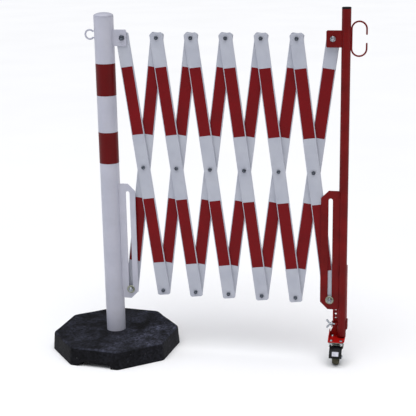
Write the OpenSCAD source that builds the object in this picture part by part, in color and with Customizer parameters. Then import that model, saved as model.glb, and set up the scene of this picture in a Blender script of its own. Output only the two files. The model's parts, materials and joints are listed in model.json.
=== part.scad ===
// Mobile folding barrier: a post in an octagonal foot plate, a lazy-tongs fence of twelve slats,
// and a castor post with a chain hook. Millimetres, +Z up, +X from the foot plate to the castor post.
// The origin is on the floor, on the axis of the post in the foot plate.

/* [Foot plate] */
// Corner radius of the octagonal plate at the floor
base_corner_r = 205; // [160:1:260]
// Height of the plate
base_h = 60; // [45:1:90]
// How far the top corners lean in
base_draft = 5; // [2:1:10]
// Size of the soft bevel round the top edge
base_bevel = 6; // [2:0.5:12]
// Turn of the octagon about the post
base_turn = 17; // [0:1:44]
// Floor left under the post in its socket
socket_floor = 6; // [3:1:15]
// Radial play of the post in its socket
socket_play = 0.4; // [0.2:0.1:1]
// Width of the hand recess under the edge
grip_w = 108; // [80:1:125]
// Height of the hand recess
grip_h = 14; // [10:1:20]
// Depth of the hand recess
grip_depth = 32; // [20:1:45]

/* [Standing post] */
// Outside diameter of the post
post_d = 60; // [48:0.5:70]
// Wall of the post
post_wall = 2.5; // [1.5:0.1:4]
// Post tube above the top row of pivots
post_over = 63; // [40:1:200]
// Rise of the domed post cap
cap_rise = 12; // [6:0.5:16]
// Depth of the cap's plug in the tube
cap_plug = 18; // [8:1:30]
// Height of each reflective band
band_h = 97; // [60:1:110]
// Thickness of the reflective film
film_t = 0.3; // [0.2:0.1:0.6]
// Top row of pivots to the bottom of the upper band
upper_band_drop = 174; // [140:1:210]
// Top row of pivots to the bottom of the lower band
lower_band_drop = 384; // [320:1:430]

/* [Fence] */
// Distance between the end pivots of a slat
slat_span = 800; // [760:1:1000]
// Floor to the bottom pivot of a slat that hangs straight down
fence_room = 192; // [180:1:210]
// Spacing of the top pivots with the fence closed
closed_pitch = 105; // [87.5:0.5:130]
// Width of a slat
slat_w = 40; // [30:0.5:50]
// Thickness of a slat
slat_t = 7; // [5:0.5:9]
// Slat beyond its end pivots
slat_overhang = 15; // [13:0.5:18]
// Cut at the corners of a slat
slat_corner = 4; // [3:0.5:8]
// Bevel along the long edges of a slat
slat_bevel = 1.2; // [0.5:0.1:2]
// Gap between two layers, filled by a washer
layer_gap = 1; // [0.6:0.1:2]

/* [Fasteners] */
// Shank diameter of a pivot bolt
bolt_d = 8; // [6:0.5:8]
// Radial play of a slat on its bolt
bolt_play = 0.1; // [0.05:0.01:0.1]
// Width across flats of a plain pivot nut
nut_af = 11; // [10:0.5:13]
// Height of a plain pivot nut
nut_h = 5; // [3:0.5:7]
// Width across flats of the nuts on the posts
post_nut_af = 14; // [13:0.5:15]
// Height of the nuts on the posts
post_nut_h = 6.5; // [5:0.5:8]
// Diameter of the washer between two slats
washer_d = 18; // [15:0.5:22]
// Diameter of the big washer over a guide slot
slot_washer_d = 25; // [22:0.5:28]

/* [Brackets and guides] */
// Thickness of brackets and guide plates
plate_t = 4; // [3:0.5:5]
// Gap between the post and the edge of a slat that hangs straight down beside it
post_slat_gap = 7; // [5:0.5:12]
// Gap between the castor post's tube and the edge of such a slat
tube_slat_gap = 4; // [4:0.5:12]
// Height of a pivot bracket
bracket_h = 49; // [40:1:56]
// Bracket beyond its pivot on the standing post
post_bracket_lip = 14; // [10:1:20]
// Bracket beyond its pivot on the castor post
tube_bracket_lip = 19; // [12:1:22]
// Corner cut of a bracket
bracket_corner = 3; // [2:0.5:10]
// Guide plate below the lowest place of its bolt
guide_tail = 30; // [26:1:34]
// Guide plate above the highest place of its bolt
guide_head = 30; // [24:1:40]
// Guide plate beyond its slot on the standing post
post_guide_lip = 24; // [20:1:30]
// Guide plate beyond its slot on the castor post
tube_guide_lip = 29; // [20:1:32]
// Corner cut of a guide plate
guide_corner = 23; // [10:1:26]
// Width of a guide slot
slot_w = 12.5; // [12.5:0.1:14]
// Travel of a bolt in its slot
slot_travel = 314; // [314:1:380]

/* [Chain eye and hook] */
// Outside diameter of the chain eye
eye_d = 33; // [28:0.5:42]
// Wire of the chain eye
eye_wire = 5.5; // [4:0.5:7]
// Eye's centre above the top row of pivots
eye_over = 9; // [-50:1:40]
// Wire of the hook
hook_wire = 5; // [4:0.5:7]
// Bend radius of the hook's ends, to the wire's middle
hook_r = 21.5; // [16:0.5:26]
// Hook's upper bend centre above the top row of pivots
hook_over = 28; // [10:1:50]
// Distance between the hook's two bend centres
hook_len = 56; // [40:1:80]
// Mouth of the hook, from wire end to wire end
hook_mouth = 22; // [14:1:30]

/* [Castor post] */
// Outside diameter of the castor post's tube
tube_d = 26.9; // [25:0.1:34]
// Wall of the tube
tube_wall = 2.3; // [1.5:0.1:3]
// Lower end of the tube above the castor's top plate
tube_lift = 8; // [8:1:16]
// Tube above the top row of pivots
tube_over = 85; // [50:1:160]
// Height of the tube's end cap
tube_cap_h = 5; // [3:0.5:10]

/* [Sliding foot] */
// Thickness of the foot's steel
foot_t = 3; // [2.5:0.1:3]
// Play between the rail and what guides it
rail_play = 0.4; // [0.3:0.1:0.6]
// Length of the rail above the foot plate
rail_len = 229; // [200:1:240]
// Rail beyond the left side of the tube
rail_left_over = 14.55; // [12:0.05:15]
// Rail beyond the right side of the tube
rail_right_over = 1.05; // [0.5:0.05:3]
// Diameter of the holes in the rail
rail_hole_d = 6; // [4:0.5:8]
// Spacing of the holes in the rail
rail_hole_pitch = 14; // [12:0.5:20]
// Number of holes in the rail
rail_holes = 13; // [6:1:13]
// Height of the clip that holds the rail
clip_h = 28; // [20:1:32]
// Lower edge of the clip above the castor's top plate
clip_lift = 30; // [26:1:34]
// Shank diameter of the wing screw
wing_screw_d = 6; // [5:0.5:6]
// Span of the screw's wings
wing_span = 29; // [22:1:34]

/* [Castor] */
// Diameter of the castor wheel
wheel_d = 50; // [40:1:60]
// Width of the tread
wheel_w = 20; // [16:0.5:20]
// Crown of the tread
wheel_crown = 3; // [1:0.5:5]
// Diameter of the axle
axle_d = 6; // [5:0.5:8]
// Top of the castor's plate above the wheel
castor_over = 24; // [24:0.5:30]
// Width of the castor's top plate
castor_plate_w = 46; // [44:0.5:48]
// Depth of the castor's top plate
castor_plate_d = 58; // [56:0.5:59]
// Bolt spacing across the plate
castor_bolt_x = 30; // [28:0.5:32]
// Bolt spacing front to back
castor_bolt_y = 44; // [42:0.5:44]
// Trail of the wheel behind the swivel axis
castor_trail = 18; // [15:0.5:20]
// Width of the brake pedal
pedal_w = 38; // [30:1:42]

/* [Hidden] */
$fn = 48;

crossings = 6;
cut = 1;                    // how far a cutter reaches past what it cuts
run = 0.1;                  // gap between faces that slide on each other
lean = asin(closed_pitch / slat_span);
closed_h = slat_span * cos(lean);
pivot_z = fence_room + slat_span;   // the top row of pivots
post_r = post_d / 2;
post_top = pivot_z + post_over;
tube_r = tube_d / 2;
tube_top = pivot_z + tube_over;
wheel_r = wheel_d / 2;
castor_h = wheel_d + castor_over;
tube_low_z = castor_h + tube_lift;

// layers from front to back
front_y = -slat_t / 2 - layer_gap / 2;
rear_y = front_y + slat_t + layer_gap;
back_y = rear_y + slat_t;
plate_back_y = front_y - layer_gap;
plate_y = plate_back_y - plate_t;

left_x = post_r + post_slat_gap + slat_w / 2;
right_x = left_x + crossings * closed_pitch;
tube_x = right_x + slat_w / 2 + tube_slat_gap + tube_r;
slot_low_z = pivot_z - closed_h;
function pivot_x(i) = left_x + (i - 1) * closed_pitch;

steel_white = [0.86, 0.87, 0.9];
slat_white = [0.9, 0.91, 0.93];
film_red = [0.62, 0.07, 0.1];
paint_red = [0.6, 0.08, 0.1];
foot_red = [0.75, 0.12, 0.12];
zinc = [0.72, 0.72, 0.68];
black = [0.1, 0.1, 0.11];
grey = [0.35, 0.35, 0.33];

// ---- small shapes ----

// a rod along Y from y0 to y1
module rod_y(d, y0, y1) translate([0, y1, 0]) rotate([90, 0, 0]) cylinder(d = d, h = y1 - y0);

// a rod along X from x0 to x1
module rod_x(d, x0, x1) translate([x0, 0, 0]) rotate([0, 90, 0]) cylinder(d = d, h = x1 - x0);

module hex_y(af, y0, y1)
    translate([0, y1, 0]) rotate([90, 30, 0]) cylinder(d = af / cos(30), h = y1 - y0, $fn = 6);

// an outline in X and Z, made y1 - y0 thick
module sheet_y(y0, y1) translate([0, y1, 0]) rotate([90, 0, 0]) linear_extrude(y1 - y0) children();

// an outline in Y and Z, made x1 - x0 thick
module sheet_x(x0, x1) translate([x0, 0, 0]) rotate([90, 0, 90]) linear_extrude(x1 - x0) children();

// a plate edge-on to its post: a rectangle with two cut corners at the far side
module tab_outline(x0, x1, z0, z1, c) polygon(x1 > x0
    ? [[x0, z0], [x1 - c, z0], [x1, z0 + c], [x1, z1 - c], [x1 - c, z1], [x0, z1]]
    : [[x0, z0], [x0, z1], [x1 + c, z1], [x1, z1 - c], [x1, z0 + c], [x1 + c, z0]]);

// ---- foot plate ----

module octagon_slab(r, z, h) translate([0, 0, z]) rotate(base_turn) cylinder(r = r, h = h, $fn = 8);

module base_plate() color(black) {
    thin = 0.5;
    top_r = base_corner_r - base_draft;
    flat_r = base_corner_r * cos(22.5);
    difference() {
        hull() {
            octagon_slab(base_corner_r, 0, thin);
            octagon_slab(top_r, base_h - base_bevel, thin);
            octagon_slab(top_r - base_bevel * 0.4, base_h - base_bevel * 0.35, 0.1);
            octagon_slab(top_r - base_bevel * 1.4, base_h - thin, thin);
        }
        translate([0, 0, socket_floor]) cylinder(r = post_r + socket_play, h = base_h);
        for (side = [0, 180])
            rotate(base_turn - 112.5 + side) translate([flat_r - grip_depth, -grip_w / 2, -cut])
                cube([grip_depth + base_draft, grip_w, grip_h + cut]);
    }
}

// ---- standing post ----

module post_tube() color(steel_white) difference() {
    translate([0, 0, socket_floor + run]) cylinder(r = post_r, h = post_top - socket_floor - run);
    cylinder(r = post_r - post_wall, h = post_top + cut);
}

module post_cap() color(steel_white) {
    steps = 10;
    edge = 2;
    rise = cap_rise - edge;
    dome = [for (k = [0 : steps]) [post_r * cos(90 * k / steps), edge + rise * sin(90 * k / steps)]];
    translate([0, 0, post_top]) rotate_extrude()
        polygon(concat([[0, 0], [post_r, 0]], [for (p = dome) [max(p[0], 0), p[1]]]));
    translate([0, 0, post_top - cap_plug]) cylinder(r = post_r - post_wall, h = cap_plug);
}

module band(z) color(film_red) translate([0, 0, z]) difference() {
    cylinder(r = post_r + film_t, h = band_h);
    translate([0, 0, -cut]) cylinder(r = post_r, h = band_h + 2 * cut);
}
module upper_band() band(pivot_z - upper_band_drop);
module lower_band() band(pivot_z - lower_band_drop);

// a plate with its near edge fitted to the round of its post
module post_plate(post_x, r, far_x, z0, z1, corner) difference() {
    sheet_y(plate_y, plate_back_y) tab_outline(post_x, far_x, z0, z1, corner);
    translate([post_x, 0, z0 - cut]) cylinder(r = r, h = z1 - z0 + 2 * cut);
    children();
}

module pivot_bracket(post_x, r, pivot, far_x)
    post_plate(post_x, r, far_x, pivot_z - bracket_h / 2, pivot_z + bracket_h / 2, bracket_corner)
        translate([pivot, 0, pivot_z]) rod_y(bolt_d, plate_y - cut, plate_back_y + cut);

module guide_plate(post_x, r, slot, far_x) {
    low = slot_low_z - guide_tail;
    top = slot_low_z + slot_travel + guide_head;
    post_plate(post_x, r, far_x, low, top, guide_corner) {
        for (z = [slot_low_z, slot_low_z + slot_travel])
            translate([slot, 0, z]) rod_y(slot_w, plate_y - cut, plate_back_y + cut);
        translate([slot - slot_w / 2, plate_y - cut, slot_low_z])
            cube([slot_w, plate_t + 2 * cut, slot_travel]);
    }
}

module left_pivot_bracket() color(steel_white) pivot_bracket(0, post_r, left_x, left_x + post_bracket_lip);
module left_guide_plate() color(steel_white) guide_plate(0, post_r, left_x, left_x + post_guide_lip);

eye_sink = 1.2;             // how far the ring bites into the post's round
eye_x = -(post_r + eye_d / 2 - eye_sink);
eye_z = pivot_z + eye_over;
module chain_eye() color(steel_white) difference() {
    translate([eye_x, 0, eye_z]) rotate([90, 0, 0])
        rotate_extrude() translate([(eye_d - eye_wire) / 2, 0]) circle(d = eye_wire);
    translate([0, 0, eye_z - eye_d]) cylinder(r = post_r, h = 2 * eye_d);
}

// a bolt fixed in a bracket: nut in front, head behind the slat it carries
module bracket_bolt(x, behind_y, spacer_end) color(zinc) translate([x, 0, pivot_z]) {
    rod_y(bolt_d, plate_y - cut, behind_y + run + cut);
    hex_y(post_nut_af, plate_y - post_nut_h, plate_y);
    rod_y(bolt_d - 2, plate_y - post_nut_h - 2, plate_y);
    hex_y(post_nut_af, behind_y + run, behind_y + run + nut_h);
    rod_y(washer_d, plate_back_y, spacer_end - run);
}
module left_pivot_bolt() bracket_bolt(left_x, rear_y - layer_gap, front_y);

// ---- fence ----

module slat(y0) {
    half = slat_w / 2;
    c = slat_corner;
    b = slat_bevel;
    y1 = y0 + slat_t;
    low = -slat_span - slat_overhang;
    difference() {
        intersection() {
            sheet_y(y0 - cut, y1 + cut) polygon([[-half, low + c], [-half + c, low], [half - c, low],
                [half, low + c], [half, slat_overhang - c], [half - c, slat_overhang],
                [-half + c, slat_overhang], [-half, slat_overhang - c]]);
            translate([0, 0, low - cut]) linear_extrude(slat_span + 2 * slat_overhang + 2 * cut)
                polygon([[-half, y0 + b], [-half + b, y0], [half - b, y0], [half, y0 + b],
                    [half, y1 - b], [half - b, y1], [-half + b, y1], [-half, y1 - b]]);
        }
        for (z = [0, -slat_span / 2, -slat_span])
            translate([0, 0, z]) rod_y(bolt_d + 2 * bolt_play, y0 - cut, y1 + cut);
    }
}

module on_front(i) translate([pivot_x(i), 0, pivot_z]) rotate([0, -lean, 0]) children();
module on_rear(i) translate([pivot_x(i + 1), 0, pivot_z]) rotate([0, lean, 0]) children();
module front_slat(i) color(slat_white) on_front(i) slat(front_y);
module rear_slat(i) color(slat_white) on_rear(i) slat(rear_y);

// the bolt of a plain crossing, with the washer between its two slats
module crossing_bolt() color(zinc) {
    rod_y(bolt_d, front_y - run - cut, back_y + run + cut);
    hex_y(nut_af, front_y - run - nut_h, front_y - run);
    rod_y(bolt_d - 2, front_y - run - nut_h - 1.5, front_y);
    hex_y(nut_af, back_y + run, back_y + run + nut_h - 1);
    rod_y(washer_d, rear_y - layer_gap + run / 2, rear_y - run / 2);
}

module front_bolts(i) on_front(i) {
    translate([0, 0, -slat_span / 2]) crossing_bolt();
    if (i < crossings) translate([0, 0, -slat_span]) crossing_bolt();
}
module rear_bolt(i) on_rear(i) crossing_bolt();

// a bolt that runs in a guide slot: bush in the slot, big washer and nut in front
module slot_bolt(slat_front_y, slat_back_y) color(zinc) {
    over = 0.3;
    face = plate_y - over;
    rod_y(slot_w - 0.5, face, plate_back_y + run);
    rod_y(washer_d - 2, plate_back_y + run, slat_front_y);
    rod_y(slot_washer_d, face - 1.6, face);
    hex_y(post_nut_af, face - 1.6 - post_nut_h, face - 1.6);
    rod_y(bolt_d - 2, face - 1.6 - post_nut_h - 2, face);
    rod_y(bolt_d, plate_y, slat_back_y + cut);
    hex_y(post_nut_af, slat_back_y, slat_back_y + nut_h);
}
module left_slot_bolt() on_rear(1) translate([0, 0, -slat_span]) slot_bolt(rear_y, back_y);
module right_slot_bolt()
    on_front(crossings) translate([0, 0, -slat_span]) slot_bolt(front_y, front_y + slat_t);

// ---- castor post ----

module at_tube() translate([tube_x, 0, 0]) children();

module wheel_post_tube() color(paint_red) at_tube() translate([0, 0, tube_low_z]) difference() {
    cylinder(r = tube_r, h = tube_top - tube_low_z);
    translate([0, 0, -cut]) cylinder(r = tube_r - tube_wall, h = tube_top - tube_low_z + 2 * cut);
}

module wheel_post_cap() color(black) at_tube() {
    translate([0, 0, tube_top]) cylinder(r1 = tube_r, r2 = tube_r - 1.5, h = tube_cap_h);
    translate([0, 0, tube_top - 16]) cylinder(r = tube_r - tube_wall, h = 16);
}

module right_pivot_bracket()
    color(paint_red) pivot_bracket(tube_x, tube_r, right_x, right_x - tube_bracket_lip);
module right_guide_plate() color(paint_red) guide_plate(tube_x, tube_r, right_x, right_x - tube_guide_lip);
module right_pivot_bolt() bracket_bolt(right_x, back_y, rear_y);

hook_sink = 0.4;            // how far the hook's wire bites into the tube's round
hook_x = tube_x + tube_r + hook_wire / 2 - hook_sink;
hook_high_z = pivot_z + hook_over;
hook_low_z = hook_high_z - hook_len;
module hook_bend(turn) rotate([90, 0, 0]) rotate([0, 0, turn])
    rotate_extrude(angle = 180) translate([hook_r, 0]) circle(d = hook_wire);

module chain_hook() color(paint_red) {
    middle_z = (hook_low_z + hook_high_z) / 2;
    far_x = hook_x + 2 * hook_r;
    difference() {
        union() {
            translate([hook_x + hook_r, 0, hook_high_z]) hook_bend(0);
            translate([hook_x + hook_r, 0, hook_low_z]) hook_bend(180);
            translate([hook_x, 0, hook_low_z]) cylinder(d = hook_wire, h = hook_high_z - hook_low_z);
            translate([far_x, 0, middle_z + hook_mouth / 2])
                cylinder(d = hook_wire, h = hook_high_z - middle_z - hook_mouth / 2);
            translate([far_x, 0, hook_low_z])
                cylinder(d = hook_wire, h = middle_z - hook_mouth / 2 - hook_low_z);
        }
        at_tube() translate([0, 0, hook_low_z - cut]) cylinder(r = tube_r, h = hook_len + 2 * cut);
    }
}

// ---- sliding foot ----

web_y = tube_r + rail_play;             // front face of the rail's web, just behind the tube
web_back_y = web_y + foot_t;
rail_left = tube_r + rail_left_over;
rail_right = tube_r + rail_right_over;
clip_low_z = castor_h + clip_lift;
screw_y = 1;
screw_z = clip_low_z + clip_h / 2;
boss_d = 12;
boss_reach = 6;
lip_t = foot_t - 0.5;
left_lip_y = 6;                         // front edges of the rail's two lips
right_lip_y = 9.5;

module foot_clip() color(paint_red) at_tube() translate([0, 0, clip_low_z]) difference() {
    arm_x = rail_right + rail_play;
    arm_t = 2.5;
    union() {
        translate([arm_x, -3, 0]) cube([arm_t, web_back_y + rail_play + arm_t + 3, clip_h]);
        translate([0, -3, 0]) cube([arm_x + arm_t, 6, clip_h]);
        translate([-rail_left + 4, web_back_y + rail_play, 0])
            cube([rail_left - 4 + arm_x + arm_t, arm_t, clip_h]);
    }
    translate([0, 0, -cut]) cylinder(r = tube_r, h = clip_h + 2 * cut);
}

module screw_boss() color(paint_red) at_tube() difference() {
    translate([0, screw_y, screw_z]) rod_x(boss_d, -tube_r - boss_reach, 0);
    translate([0, screw_y, screw_z]) rod_x(wing_screw_d + 0.1, -tube_r - boss_reach - cut, cut);
    translate([0, 0, screw_z - boss_d]) cylinder(r = tube_r, h = 2 * boss_d);
}

module wing_screw() color(zinc) at_tube() translate([0, screw_y, screw_z]) {
    washer_x = -rail_left - rail_play;
    washer_t = 2;
    hub = washer_x - washer_t;
    tip = hub - 17;
    half = wing_span / 2;
    rod_x(wing_screw_d, hub, -tube_r - 0.5);
    rod_x(20, hub, washer_x);
    rod_x(10, hub - 7, hub);
    sheet_y(-1.5, 1.5) polygon([[hub, 3], [hub - 5, 4], [tip + 4, half], [tip, half - 2], [tip + 1, half - 6],
        [hub - 8, 0], [tip + 1, 6 - half], [tip, 2 - half], [tip + 4, -half], [hub - 5, -4], [hub, -3]]);
}

plate_top = castor_h + foot_t;
foot_left = rail_left + 10;
foot_right = 12;
rail_top = plate_top + rail_len;
flare_z = plate_top + 26;               // below this the rail widens to the foot plate

module foot_rail() color(foot_red) at_tube() difference() {
    union() {
        sheet_y(web_y, web_back_y) polygon([[-foot_left, plate_top], [foot_right, plate_top],
            [foot_right, flare_z - 12], [rail_right, flare_z], [rail_right, rail_top], [-rail_left, rail_top],
            [-rail_left, flare_z], [-foot_left, plate_top + 5]]);
        translate([-rail_left, left_lip_y, flare_z])
            cube([lip_t, web_y - left_lip_y + 0.5, rail_top - flare_z]);
        translate([rail_right - lip_t, right_lip_y, flare_z])
            cube([lip_t, web_y - right_lip_y + 0.5, rail_top - flare_z]);
    }
    for (k = [0 : rail_holes - 1])
        translate([-rail_left + 8.5, 0, rail_top - 19 - k * rail_hole_pitch])
            rod_y(rail_hole_d, web_y - cut, web_back_y + cut);
}

castor_x = tube_x - 13;
swivel_y = web_back_y - castor_plate_d / 2 - 2;
module foot_plate() color(foot_red) difference() {
    front = swivel_y - castor_plate_d / 2 - 1;
    at_tube() {
        translate([-foot_left, front, castor_h]) cube([foot_left + foot_right, web_back_y - front, foot_t]);
        translate([foot_right - lip_t, front + 6, plate_top]) cube([lip_t, web_y - front - 6, foot_t]);
        sheet_x(-foot_left, -foot_left + lip_t)
            polygon([[front + 6, plate_top], [web_y, plate_top], [web_y, plate_top + 20],
                [front + 6, plate_top + 3]]);
    }
    at_castor_bolts() cylinder(d = 6.4, h = plate_top + cut);
    translate([tube_x + foot_right, front, castor_h - cut]) rotate(45) cube([8, 8, 30], center = true);
}

// ---- castor ----

module at_castor() translate([castor_x, swivel_y, 0]) children();
module at_castor_bolts() at_castor()
    for (sx = [-0.5, 0.5], sy = [-0.5, 0.5])
        translate([sx * castor_bolt_x, sy * castor_bolt_y, 0]) children();

sheet = 2.5;
race_r = 17;
fork_top = castor_h - 12;
plate_low = castor_h - sheet;
kingpin_d = 8;
leg_x = wheel_w / 2 + 2;
leg_z = fork_top - 19;                  // where the fork's shoulders turn down into its legs

module castor_plate() color(zinc) difference() {
    at_castor() {
        translate([-castor_plate_w / 2, -castor_plate_d / 2, plate_low])
            cube([castor_plate_w, castor_plate_d, sheet]);
        translate([0, 0, fork_top + 2.5]) cylinder(r = race_r, h = plate_low - fork_top - 2.5);
    }
    at_castor() translate([0, 0, fork_top]) cylinder(d = kingpin_d, h = castor_h);
    at_castor_bolts() cylinder(d = 6.4, h = castor_h + cut);
}

module castor_bolts() color(zinc) at_castor_bolts() {
    translate([0, 0, plate_top]) cylinder(d1 = 10.5, d2 = 6, h = 3.3);
    translate([0, 0, plate_low - 6]) cylinder(d = 6, h = plate_top - plate_low + 7);
    translate([0, 0, plate_low - 4.5]) cylinder(d = 10 / cos(30), h = 4.5, $fn = 6);
}

module castor_kingpin() color(zinc) at_castor() {
    translate([0, 0, fork_top - 5]) cylinder(d = kingpin_d, h = castor_h - fork_top + 5);
    translate([0, 0, fork_top - 6]) cylinder(r = 7, h = 3 - run);
}

module castor_balls() color(zinc) at_castor()
    for (k = [0 : 15]) rotate(k * 22.5) translate([race_r - 4, 0, fork_top + 1.25]) sphere(r = 1.2, $fn = 24);

module castor_fork() color(zinc) at_castor() difference() {
    union() {
        translate([0, 0, fork_top - 3]) cylinder(r = 20, h = 3);
        translate([0, 0, fork_top]) difference() {
            cylinder(r = 20, h = 4);
            translate([0, 0, -cut]) cylinder(r = race_r + 0.5, h = 6);
        }
        for (side = [-1, 1]) {
            sheet_y(-13, 9) polygon([[side * 15, fork_top], [side * 21, fork_top - 1],
                [side * 23, fork_top - 5], [side * (leg_x + sheet), leg_z], [side * leg_x, leg_z],
                [side * 20, fork_top - 6], [side * 18, fork_top - 3], [side * 15, fork_top - 3]]);
            sheet_x(side > 0 ? leg_x : -leg_x - sheet, side > 0 ? leg_x + sheet : -leg_x) {
                polygon([[-13, leg_z + 0.5], [9, leg_z + 0.5], [9, leg_z - 3],
                    [-castor_trail + 7, wheel_r - 4], [-castor_trail - 7, wheel_r - 4]]);
                translate([-castor_trail, wheel_r]) circle(r = 8);
            }
        }
    }
    translate([0, 0, fork_top - 3 - cut]) cylinder(d = kingpin_d + 0.2, h = 6);
    translate([0, -castor_trail, wheel_r]) rod_x(axle_d, -leg_x - 10, leg_x + 10);
    translate([0, pedal_y, pedal_z]) rod_x(4, -leg_x - 20, leg_x + 20);
}

pedal_y = -4;
pedal_z = fork_top - 10;
module castor_axle() color(zinc) at_castor() translate([0, -castor_trail, wheel_r]) {
    end = leg_x + sheet;
    rod_x(axle_d, -end - cut, end + 5.5);
    translate([-end - 4, 0, 0]) rotate([0, 90, 0]) cylinder(d = 10 / cos(30), h = 4, $fn = 6);
    translate([end, 0, 0]) rotate([0, 90, 0]) cylinder(d = 10 / cos(30), h = 4.5, $fn = 6);
}

module pedal_pin() color(zinc) at_castor() translate([0, pedal_y, pedal_z]) rod_x(4, -leg_x - 7, leg_x + 7);

module at_wheel() at_castor() translate([0, -castor_trail, wheel_r]) rotate([0, 90, 0]) children();
tread_r = wheel_r - 8;
module wheel_tread() color(grey) at_wheel() rotate_extrude($fn = 96) {
    steps = 8;
    crown = [for (k = [-steps : steps]) [wheel_r - wheel_crown * pow(k / steps, 2), wheel_w / 2 * k / steps]];
    polygon(concat([[tread_r, wheel_w / 2], [tread_r, -wheel_w / 2]], crown));
}

module wheel_hub() color(black) at_wheel() difference() {
    union() {
        translate([0, 0, -wheel_w / 2 + 0.5]) cylinder(r = tread_r, h = wheel_w - 1);
        translate([0, 0, -leg_x + run]) cylinder(r = 6, h = 2 * (leg_x - run));
    }
    for (side = [0, 180]) rotate([side, 0, 0]) translate([0, 0, 4]) difference() {
        cylinder(r = tread_r - 3, h = wheel_w);
        translate([0, 0, -cut]) cylinder(r = 6, h = wheel_w + 2 * cut);
    }
    translate([0, 0, -leg_x - cut]) cylinder(d = axle_d + 0.1, h = 2 * leg_x + 2 * cut);
}

// the pedal's tongue lies under the fork, its blade bends down in front of the wheel
blade_y = -castor_trail - wheel_r;
blade_top = [blade_y + 3, fork_top - 10];
blade_low = [blade_y - 9, wheel_r + 10];

module brake_pedal() color(black) at_castor() difference() {
    union() {
        sheet_x(-leg_x + 0.5, leg_x - 0.5) translate([0, fork_top])
            polygon([[0, -13], [-1, -7], [-19, -4], [-30, -4], [-30, -7], [-19, -7.5]]);
        sheet_x(-pedal_w / 2, pedal_w / 2) polygon([[-20, fork_top - 4], [-28, fork_top - 4],
            blade_top, blade_low, [blade_y - 8, wheel_r + 6], [blade_y - 5, wheel_r + 7],
            [blade_y + 6, fork_top - 12.5],
            [-27, fork_top - 7], [-20, fork_top - 7]]);
    }
    translate([0, pedal_y, pedal_z]) rod_x(4.1, -leg_x, leg_x);
}

module pedal_pad() color([0.8, 0.8, 0.84]) at_castor() {
    middle = (blade_top + blade_low) / 2;
    slope = blade_top - blade_low;
    translate([0, middle[0], middle[1]]) rotate([atan2(slope[1], slope[0]), 0, 0])
        translate([-10, -7, 0]) cube([20, 14, 1]);
}

// ---- the nodes ----

base_plate();
post_tube();
post_cap();
upper_band();
lower_band();
left_pivot_bracket();
left_guide_plate();
chain_eye();
left_pivot_bolt();
front_slat(1);  // front_slat_1
front_slat(2);  // front_slat_2
front_slat(3);  // front_slat_3
front_slat(4);  // front_slat_4
front_slat(5);  // front_slat_5
front_slat(6);  // front_slat_6
rear_slat(1);  // rear_slat_1
rear_slat(2);  // rear_slat_2
rear_slat(3);  // rear_slat_3
rear_slat(4);  // rear_slat_4
rear_slat(5);  // rear_slat_5
rear_slat(6);  // rear_slat_6
front_bolts(1);  // front_bolts_1
front_bolts(2);  // front_bolts_2
front_bolts(3);  // front_bolts_3
front_bolts(4);  // front_bolts_4
front_bolts(5);  // front_bolts_5
front_bolts(6);  // front_bolts_6
rear_bolt(1);  // rear_bolt_1
rear_bolt(2);  // rear_bolt_2
rear_bolt(3);  // rear_bolt_3
rear_bolt(4);  // rear_bolt_4
rear_bolt(5);  // rear_bolt_5
left_slot_bolt();
right_slot_bolt();
wheel_post_tube();
wheel_post_cap();
right_pivot_bracket();
right_guide_plate();
chain_hook();
right_pivot_bolt();
foot_clip();
screw_boss();
wing_screw();
foot_rail();
foot_plate();
castor_plate();
castor_bolts();
castor_kingpin();
castor_balls();
castor_fork();
castor_axle();
pedal_pin();
wheel_tread();
wheel_hub();
brake_pedal();
pedal_pad();
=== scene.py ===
import json
import math
from functools import partial

import bmesh
import bpy
import numpy as np
from mathutils import Matrix, Vector

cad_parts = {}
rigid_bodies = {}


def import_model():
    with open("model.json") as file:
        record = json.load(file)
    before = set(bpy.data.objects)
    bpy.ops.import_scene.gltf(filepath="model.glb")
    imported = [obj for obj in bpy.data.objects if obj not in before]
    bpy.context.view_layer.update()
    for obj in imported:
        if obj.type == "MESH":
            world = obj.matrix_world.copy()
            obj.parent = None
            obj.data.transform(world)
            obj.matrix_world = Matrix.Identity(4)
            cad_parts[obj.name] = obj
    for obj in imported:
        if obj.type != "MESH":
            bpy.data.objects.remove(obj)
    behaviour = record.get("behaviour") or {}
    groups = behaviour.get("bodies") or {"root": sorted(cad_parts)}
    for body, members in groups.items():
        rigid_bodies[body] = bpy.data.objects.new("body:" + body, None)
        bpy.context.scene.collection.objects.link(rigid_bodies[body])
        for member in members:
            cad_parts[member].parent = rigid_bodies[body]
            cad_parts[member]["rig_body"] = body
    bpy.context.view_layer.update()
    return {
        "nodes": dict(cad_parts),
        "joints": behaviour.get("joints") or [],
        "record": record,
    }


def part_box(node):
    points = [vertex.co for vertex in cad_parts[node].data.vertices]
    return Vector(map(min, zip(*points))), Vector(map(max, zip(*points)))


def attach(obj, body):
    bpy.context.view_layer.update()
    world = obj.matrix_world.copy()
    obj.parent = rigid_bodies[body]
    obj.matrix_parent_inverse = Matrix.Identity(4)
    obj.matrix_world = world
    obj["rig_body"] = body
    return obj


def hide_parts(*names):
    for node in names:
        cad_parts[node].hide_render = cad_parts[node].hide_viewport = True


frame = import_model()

mm = 0.001
tau = 2 * math.pi


def box(node):
    # in millimetres, as all the shapes below are
    low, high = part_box(node)
    return np.array(low) / mm, np.array(high) / mm


def linear(hexColour):
    # sRGB hex to linear: a straight line near black, a power of 2.4 above it
    srgb = [int(hexColour[i:i + 2], 16) / 255 for i in (1, 3, 5)]
    return tuple(c / 12.92 if c <= 0.04045 else ((c + 0.055) / 1.055) ** 2.4 for c in srgb) + (1.0,)


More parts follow.
